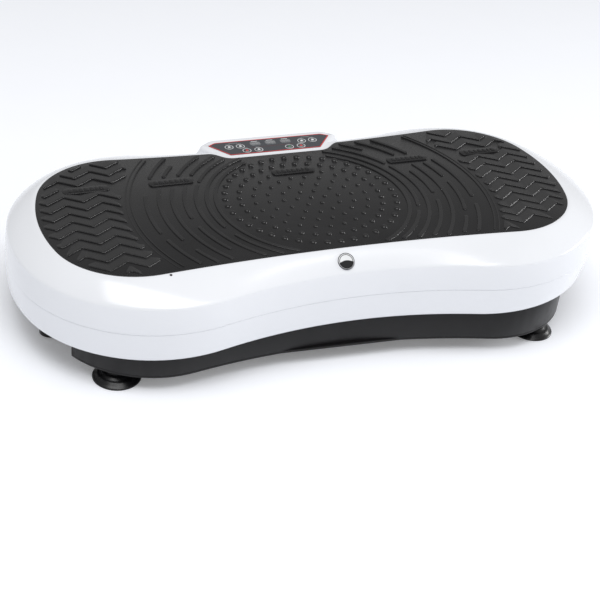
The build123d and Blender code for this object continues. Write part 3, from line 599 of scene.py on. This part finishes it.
def runs_inside(samples, test):
    """Splits a list of points into the stretches that pass the test."""
    runs, run = [], []
    for point in samples:
        if test(*point):
            run.append(point)
        elif run:
            runs.append(run)
            run = []
    return runs + ([run] if run else [])


def eased_ends(path, width):
    """Adds close points at both ends of a path so that a rib's rounded end is smooth."""
    for _ in range(2):
        head, after = Vector(path[0]), Vector(path[1])
        step = min(width / 2, (after - head).length * 0.98)
        along = (after - head).normalized()
        closer = [tuple(head + along * step * share) for share in RIB_TIP_SHARES]
        path = [path[0]] + closer + path[1:]
        path.reverse()
    return path


def arc_path(r, side, start, end):
    """Points along a rib ring on one side of the mat, RIB_STEP apart."""
    cx, cy = PATTERN_CENTRE
    steps = max(2, round(abs(start - end) / RIB_STEP))
    angles = [radians(start + (end - start) * i / steps) for i in range(steps + 1)]
    return [(cx + side * r * cos(a), cy + r * PATTERN_STRETCH * sin(a)) for a in angles]


def ring_radius(x, y):
    """Half width of the rib ring that passes through a point."""
    cx, cy = PATTERN_CENTRE
    return hypot(x - cx, (y - cy) / PATTERN_STRETCH)


def add_arc_ribs(form, field):
    """The rib rings round the dots, and two fine lines along the edge of the treads."""
    def clear(x, y):
        return inside(field, x, y) and not in_plaque(x, y, RIB_CLEAR)

    def add_runs(path, width, height, least):
        for run in runs_inside(path, clear):
            if len(run) >= least:
                add_rib(form, eased_ends(run, width), width, height)

    for r, left, right in RIB_RINGS:
        for side, spans in ((-1, left), (1, right)):
            for start, end in spans:
                add_runs(arc_path(r, side, start, end), RIB_W, RIB_H, LEAST_RIB)
    for side in (-1, 1):
        for r, height in BORDER_LINES:
            add_runs(arc_path(r, side, 90, -90), LINE_W, height, LEAST_LINE)


def add_dots(form, field):
    """Raised massage dots on rings: broad ones outside, small ones inside."""
    cx, cy = DOT_CENTRE
    for r, count, base, height in DOT_RINGS:
        dome = [(base * across, height * up) for across, up in DOME]
        for i in range(count):
            angle = tau * (i + 0.5 * (count % 2)) / count
            x, y = cx + r * cos(angle), cy + r * sin(angle)
            free = inside(field, x, y) and not in_plaque(x, y, base + DOT_CLEAR)
            if free and ring_radius(x, y) <= DOT_ZONE_R:
                form.lathe(dome, Matrix.Translation((x, y, SLAB_TOP_Z)), steps=18)


def tread_wave(x):
    """Zigzag offset at x: 0 in the valleys and TREAD_RISE at the peaks."""
    valley = TREAD_VALLEY[-1 if x < 0 else 1]
    phase = abs((x - valley) / TREAD_HALF_WAVE) % 2
    return TREAD_RISE * (phase if phase <= 1 else 2 - phase)


def tread_samples(side):
    """Sample places in X, with every peak and valley among them."""
    valley = TREAD_VALLEY[side]
    step = TREAD_HALF_WAVE / TREAD_STEPS
    low, high = sorted(side * reach for reach in TREAD_REACH)
    return [valley + step * i
            for i in range(int((low - valley) / step), int((high - valley) / step) + 1)]


def grown_share(tip, samples):
    """Share of a tread's full size this many samples from its end."""
    share, growth = tip
    return min(1.0, share + growth * samples)


def add_tread(form, run, field):
    """A zigzag tread: a steep front, a rounded crest, and a top that falls away to the rear."""
    rings = []
    last = len(run) - 1
    for i, (x, y) in enumerate(run):
        from_end = min(i, last - i)
        rise = TREAD_H * grown_share(TREAD_TIP_H, from_end)
        reach = TREAD_DEPTH * grown_share(TREAD_TIP_DEPTH, from_end)
        while reach > LEAST_DEPTH and not inside(field, x, y + reach):
            reach -= DEPTH_STEP
        rings.append([(x, y, SLAB_TOP_Z - SINK)]
                     + [(x, y + dy, SLAB_TOP_Z + rise * up) for dy, up in TREAD_FRONT]
                     + [(x, y + reach, SLAB_TOP_Z + SINK), (x, y + reach, SLAB_TOP_Z - SINK)])
    form.loft(rings)


def add_treads(form, field):
    """Rows of zigzag treads at both ends, outside the pattern's circle."""
    def free(x, y):
        return (inside(field, x, y) and ring_radius(x, y) > FIELD_R
                and not in_plaque(x, y, TREAD_CLEAR))

    def clear(x, y):
        return free(x, y) and free(x, y + TREAD_FOOTING)

    for side in (-1, 1):
        xs = tread_samples(side)
        for row in TREAD_ROWS:
            row_y = row * TREAD_PITCH + TREAD_ROW_Y
            samples = [(x, row_y + tread_wave(x)) for x in xs]
            for run in runs_inside(samples, clear):
                if len(run) >= LEAST_TREAD:
                    add_tread(form, run, field)


def add_plaques(form):
    """Raised oval plaques, each with a row of plain raised bars."""
    row_width = sum(PLAQUE_BARS) + BAR_GAP * (len(PLAQUE_BARS) - 1)
    for px, py in PLAQUE_SPOTS:
        oval = rounded(oblong(px, py, *PLAQUE_SIZE), PLAQUE_TURN)
        form.plate(oval, SLAB_TOP_Z - SINK, SLAB_TOP_Z + PLAQUE_H, edge=0.4)
        x = px - row_width / 2
        for width in PLAQUE_BARS:
            bar = rounded(oblong(x + width / 2, py, width, BAR_HEIGHT), BAR_TURN, steps=2)
            form.plate(bar, SLAB_TOP_Z + PLAQUE_H - SINK, STAND_Z, edge=0.2)
            x += width + BAR_GAP


def make_standing_mat():
    form = Form()
    ring = mat_ring(0)
    form.plate(ring, SHELL_TOP_Z, SLAB_TOP_Z, edge=SLAB_EDGE)
    add_arc_ribs(form, mat_ring(RIB_MARGIN))
    add_dots(form, mat_ring(DOT_MARGIN))
    add_treads(form, mat_ring(TREAD_MARGIN))
    add_plaques(form)
    form.piece("standing_mat_moulded", "platform", [RUBBER],
               replaces=["standing_mat"], sharp=62)


# ---- Control panel, about its own middle in X -----------------------------------------------
PANEL_PLACE = REST @ Matrix.Translation((PANEL_X * MM, 0, 0))
POD_PLAN = ((-66, 112.5), (66, 112.5), (97, 153.5), (78, 168.0), (-78, 168.0), (-97, 153.5))
POD_TURN = 7.0
POD_FOOT_Z, POD_FOOT_REAR_Y = 93.0, 158.0
POD_BEVEL = 6.4                 # width of the soft edge round the pod's top
POD_BEVEL_Z = PANEL_Z - 5.0
FLARE_X, FLARE_WIDTH = 72.0, 25.0       # the pod's tips, from here on, run out into the rim
FLARE_REACH = 22.0
FLARE_RINGS = ((1.0, 118.0), (0.62, 124.5), (0.36, 129.5), (0.14, 134.0))   # share, height
FILM_PLAN = ((-61.8, 119.7), (61.8, 119.7), (84, 149.9), (74, 156.4), (-74, 156.4), (-84, 149.9))
BORDER_W = 1.3
WINDOW_XS = (-21.0, 0.0, 21.0)
WINDOW_Y = 145.9
KEY_ROWS = {"upper": (141.4, (-58.0, -42.7, 42.7, 58.0)),
            "lower": (128.2, (-37.5, -21.2, 21.2, 37.5))}
KEY_INKS = {"upper": (WHITE_INK,) * 4, "lower": (RED_INK, WHITE_INK, GREEN_INK, RED_INK)}
KEY_TOP_Z = PANEL_Z + 1.0
KEY_RING_R = (5.75, 4.95)
KEY_MARK_R = 1.9
KEY_STROKE = ((-3.0, -3.0), (3.0, -3.0), (2.4, -2.4), (-2.4, -2.4))
INK_BED = 0.02                  # how deep an ink goes into what it is printed on
FILM_INK_T, FINE_INK_T = 0.06, 0.05
BORDER, BRIGHT, DIM, RULE = range(4)    # places of the inks in the prints' list of materials
# Bars: offset in Y from the middle of what they belong to, width, height, ink
WINDOW_BARS = ((5.4, 9.0, 1.1, BRIGHT), (-5.2, 12.0, 0.7, DIM))
WINDOWS_RULE = (-10.4, 58.0, 0.4, RULE)
KEY_BAR = (7.4, 6.0, 0.7, DIM)
SIDE_BAR_XS, SIDE_BAR = (-50.3, 50.3), (10.0, 12.0, 0.8, DIM)


def flare_share(x):
    """How far a point of the pod's plan moves outwards with the flare: only the tips move."""
    share = max(0.0, (abs(x) - FLARE_X) / FLARE_WIDTH)
    return share * share * (1 if x > 0 else -1)


def make_panel_pod():
    """Panel housing: a hexagonal pod with rounded corners and a soft bevel round its flat top."""
    plan = rounded(POD_PLAN, POD_TURN)
    rings = [at_height([(x, min(y, POD_FOOT_REAR_Y)) for x, y in plan], POD_FOOT_Z)]
    for share, z in FLARE_RINGS:
        reach = FLARE_REACH * share
        rings.append(at_height([(x + flare_share(x) * reach, y) for x, y in plan], z))
    bevel = bezier((0.0, POD_BEVEL_Z), (0.6, PANEL_Z), (POD_BEVEL, PANEL_Z), 10)
    rings += [at_height(inset_ring(plan, d), z) for d, z in bevel]
    form = Form()
    form.loft(rings)
    form.piece("panel_pod", "platform", [WHITE], place=PANEL_PLACE,
               replaces=["panel_housing"])


def make_panel_prints():
    """Ink on the panel film: the red border, a ring round each key, caption bars and rules."""
    z_low, z_high = FILM_Z - INK_BED, FILM_Z + FILM_INK_T
    form = Form()
    edge = rounded(FILM_PLAN, 1.2, steps=3)
    form.ring_plate(edge, inset_ring(edge, BORDER_W), z_low, z_high, ink=BORDER)

    def bar(x, y, rise, width, height, ink):
        corners = oblong(x, y + rise, width, height)
        form.plate(rounded(corners, height * 0.4, steps=3), z_low, z_high, ink=ink)

    for x in WINDOW_XS:
        for window_bar in WINDOW_BARS:
            bar(x, WINDOW_Y, *window_bar)
    bar(0, WINDOW_Y, *WINDOWS_RULE)
    for y, xs in KEY_ROWS.values():
        for x in xs:
            outer, inner = (circle(x, y, r) for r in KEY_RING_R)
            form.ring_plate(outer, inner, z_low, z_high, ink=BRIGHT)
            bar(x, y, *KEY_BAR)
    for x in SIDE_BAR_XS:
        bar(x, KEY_ROWS["upper"][0], *SIDE_BAR)
    form.piece("panel_prints", "platform", [RED_INK, WHITE_INK, GREY_INK, DARK_RED_INK],
               place=PANEL_PLACE)


# Strokes of a seven-segment digit: place across and up, in half widths and half heights, and
# whether the stroke is level
SEGMENTS = {
    "top": (0, 1, True), "middle": (0, 0, True), "bottom": (0, -1, True),
    "upper_left": (-1, 0.5, False), "upper_right": (1, 0.5, False),
    "lower_left": (-1, -0.5, False), "lower_right": (1, -0.5, False),
}
DIGITS = {"8": tuple(SEGMENTS), "0": tuple(name for name in SEGMENTS if name != "middle")}
DIGIT_HALF_W, DIGIT_HALF_H = 1.0, 2.2
DIGIT_OFFSETS = ((-2.2, "0"), (2.2, "8"))
STROKE_W, STROKE_GAP = 0.64, 0.4


def make_display_digits():
    """Number displays behind the windows, each showing two plain digits."""
    form = Form()
    for x in WINDOW_XS:
        for dx, digit in DIGIT_OFFSETS:
            for name in DIGITS[digit]:
                across, up, is_level = SEGMENTS[name]
                size = ((2 * DIGIT_HALF_W - STROKE_GAP, STROKE_W) if is_level
                        else (STROKE_W, DIGIT_HALF_H - STROKE_GAP))
                stroke = oblong(x + dx + across * DIGIT_HALF_W, WINDOW_Y + up * DIGIT_HALF_H, *size)
                form.plate(stroke, FILM_Z - INK_BED, FILM_Z + FINE_INK_T)
    form.piece("display_digits", "platform", [GREY_INK], place=PANEL_PLACE)


def make_key_prints():
    """A small round mark and a stroke below it on each key cap, which ride on the key."""
    z_low, z_high = KEY_TOP_Z - INK_BED, KEY_TOP_Z + FINE_INK_T
    for row, (y, xs) in KEY_ROWS.items():
        for i, (x, mark_ink) in enumerate(zip(xs, KEY_INKS[row])):
            form = Form()
            form.plate(circle(x, y, KEY_MARK_R, steps=28), z_low, z_high)
            stroke = [(x + dx, y + dy) for dx, dy in KEY_STROKE]
            form.plate(rounded(stroke, 0.3, steps=2), z_low, z_high, ink=1)
            form.piece(f"key_print_{row}_{i + 1}", f"key_{row}_{i + 1}", [mark_ink, WHITE_INK],
                       place=PANEL_PLACE)


# ---- Badge and feet -------------------------------------------------------------------------
BADGE_X, BADGE_Y = -4.0, -142.4
RIM_FALL = SHELL_TOP_Z - CREASE_Z       # the rim at the waist falls this much
RIM_RUN = CREASE_OUTLINE[2] - MAT_OUTLINE[2] - LIP      # over this much
# Profiles: radius and height above the rim
BADGE_RING = ((10.2, -1.2), (10.2, 2.2), (10.1, 2.6), (9.8, 2.85), (9.5, 2.7), (9.4, 2.2),
              (0, 2.2))
BADGE_DISC = ((9.4, 2.1), (9.35, 2.3), (6.0, 2.42), (0.0, 2.45))
BADGE_LINE = ((8.4, 2.3), (8.3, 2.52), (8.1, 2.56), (7.8, 2.56), (7.6, 2.3))
DARK_FIELD_R, DARK_FIELD_Z = 9.0, 2.54
DARK_FIELD_ENDS = (radians(190), radians(350))
DARK_FIELD_CREST = 2.6          # its upper edge bulges by this much
FIELD_STEPS, CREST_STEPS = 24, 16
CUP_PROFILE = (
    (0, 4.0), (12, 3.2), (20, 0.25), (27.6, 0.0), (28.3, 0.5), (28.4, 1.2), (28.0, 1.9),
    (26.6, 2.7), (24.6, 4.2), (22.8, 5.9), (22.0, 6.5), (20.6, 6.9), (19.4, 7.6), (17.6, 9.0),
    (16.2, 10.2), (15.2, 10.6), (14.4, 11.0), (13.4, 12.2), (13.0, 13.5), (13.0, 16.4),
    (13.6, 17.0), (14.6, 17.2), (15.0, 17.8), (15.0, 19.0), (14.6, 19.5), (0, 19.5),
)


def make_front_badge():
    """Round badge on the front rim: a dark metal ring round a white disc, with a dark field in
    its lower half and a thin dark circle near its edge."""
    drop = (-BADGE_Y - MAT_OUTLINE[2] - LIP) * RIM_FALL / RIM_RUN
    place = (Matrix.Translation((BADGE_X, BADGE_Y, SHELL_TOP_Z - drop))
             @ Matrix.Rotation(atan2(RIM_FALL, RIM_RUN), 4, "X"))
    form = Form()
    form.lathe(BADGE_RING, place, steps=72)
    form.lathe(BADGE_DISC, place, steps=72, ink=1)
    start, end = DARK_FIELD_ENDS
    field = arc_points(0, 0, DARK_FIELD_R, start, end, FIELD_STEPS)
    field.append((DARK_FIELD_R * cos(end), DARK_FIELD_R * sin(end)))
    left_tip, right_tip = field[0], field[-1]
    for i in range(1, CREST_STEPS):
        x, y = lerp(right_tip, left_tip, i / CREST_STEPS)
        field.append((x, y + DARK_FIELD_CREST * sin(pi * i / CREST_STEPS)))
    form.add([place @ Vector(point) for point in at_height(field, DARK_FIELD_Z)],
             [list(range(len(field)))], ink=2)
    form.lathe(BADGE_LINE, place, steps=72, ink=2)
    form.piece("front_badge_disc", "platform", [BADGE_METAL, WHITE_INK, BADGE_BLACK],
               replaces=["front_badge"])


def make_suction_cups():
    """Rubber feet: a thin flared lip, a ribbed bell and a neck with a collar under the base."""
    for row in ("front", "rear"):
        for side in ("left", "right"):
            node = f"suction_cup_{row}_{side}"
            low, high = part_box(node)
            centre = (low + high) / 2 / MM
            form = Form()
            form.lathe(CUP_PROFILE, Matrix.Translation((centre.x, centre.y, 0)), steps=72)
            form.piece(f"foot_cup_{row}_{side}", "base", [CUP], place=LEVEL,
                       replaces=[node], sharp=50)


dress_cad_nodes()
make_top_shell()
make_lower_skirt()
make_standing_mat()
make_panel_pod()
make_panel_prints()
make_display_digits()
make_key_prints()
make_front_badge()
make_suction_cups()


# ---- Studio, in metres ----------------------------------------------------------------------
FLOOR_HALF = 12.0
FLOOR_GLOW = 0.17
WORLD_STRENGTH = 0.42
# Lamps: name, place, target, width and height, power in watts
LAMPS = (
    ("key_top", (-0.35, -0.72, 2.3), (0, 0, 0.1), (2.0, 1.4), 39),
    ("right_low", (2.55, -0.35, 0.7), (0.1, 0, 0.1), (1.3, 0.2), 25),
)
VIEW_AZIMUTH = radians(21.64)           # the camera looks this far to the right of +Y
VIEW_PITCH = radians(33.57)             # and this far down
VIEW_ROLL = radians(4.855)
VIEW_TARGET = Vector((-87.8, -220.6, SLAB_TOP_Z)) * MM
VIEW_DISTANCE = 1.4028
FOCAL_LENGTH = 77.4
SENSOR_WIDTH = 36.0


def make_floor():
    """A white floor that glows a little, so it stays white with only a soft contact shadow."""
    mesh = bpy.data.meshes.new("studio_floor")
    corners = at_height(oblong(0, 0, 2 * FLOOR_HALF, 2 * FLOOR_HALF), 0)
    mesh.from_pydata(corners, [], [[0, 1, 2, 3]])
    floor = bpy.data.objects.new("studio_floor", mesh)
    bpy.context.scene.collection.objects.link(floor)
    white = material("floor_white", (0.87, 0.89, 0.94), 0.7, grain=40, bump=0.0, shade=0.004,
                     spread=0.02, specular=0.1)
    shader = white.node_tree.nodes["Principled BSDF"]
    shader.inputs["Emission Color"].default_value = (1, 1, 1, 1)
    shader.inputs["Emission Strength"].default_value = FLOOR_GLOW
    mesh.materials.append(white)


def add_softbox(name, spot, target, size, power):
    light = bpy.data.lights.new(name, "AREA")
    light.shape = "RECTANGLE"
    light.size, light.size_y = size
    light.energy = power
    lamp = bpy.data.objects.new(name, light)
    lamp.location = spot
    lamp.visible_camera = False
    aim = Vector(target) - Vector(spot)
    lamp.rotation_euler = aim.to_track_quat("-Z", "Y").to_euler()
    bpy.context.scene.collection.objects.link(lamp)


def make_light():
    world = bpy.data.worlds.new("studio")
    bpy.context.scene.world = world
    world.use_nodes = True
    backdrop = world.node_tree.nodes["Background"]
    backdrop.inputs["Color"].default_value = (1.0, 1.0, 1.0, 1)
    backdrop.inputs["Strength"].default_value = WORLD_STRENGTH
    for lamp in LAMPS:
        add_softbox(*lamp)


def make_camera():
    level_reach = cos(VIEW_PITCH)
    forward = Vector((sin(VIEW_AZIMUTH) * level_reach, cos(VIEW_AZIMUTH) * level_reach,
                      -sin(VIEW_PITCH)))
    spot = VIEW_TARGET - forward * VIEW_DISTANCE
    turn = (forward.to_track_quat("-Z", "Y").to_matrix().to_4x4()
            @ Matrix.Rotation(VIEW_ROLL, 4, "Z"))
    camera = bpy.data.objects.new("camera", bpy.data.cameras.new("camera"))
    camera.data.lens = FOCAL_LENGTH
    camera.data.sensor_width = SENSOR_WIDTH
    camera.matrix_world = REST @ Matrix.Translation(spot) @ turn
    bpy.context.scene.collection.objects.link(camera)
    bpy.context.scene.camera = camera


make_floor()
make_light()
make_camera()
bpy.context.scene.view_settings.view_transform = "Standard"
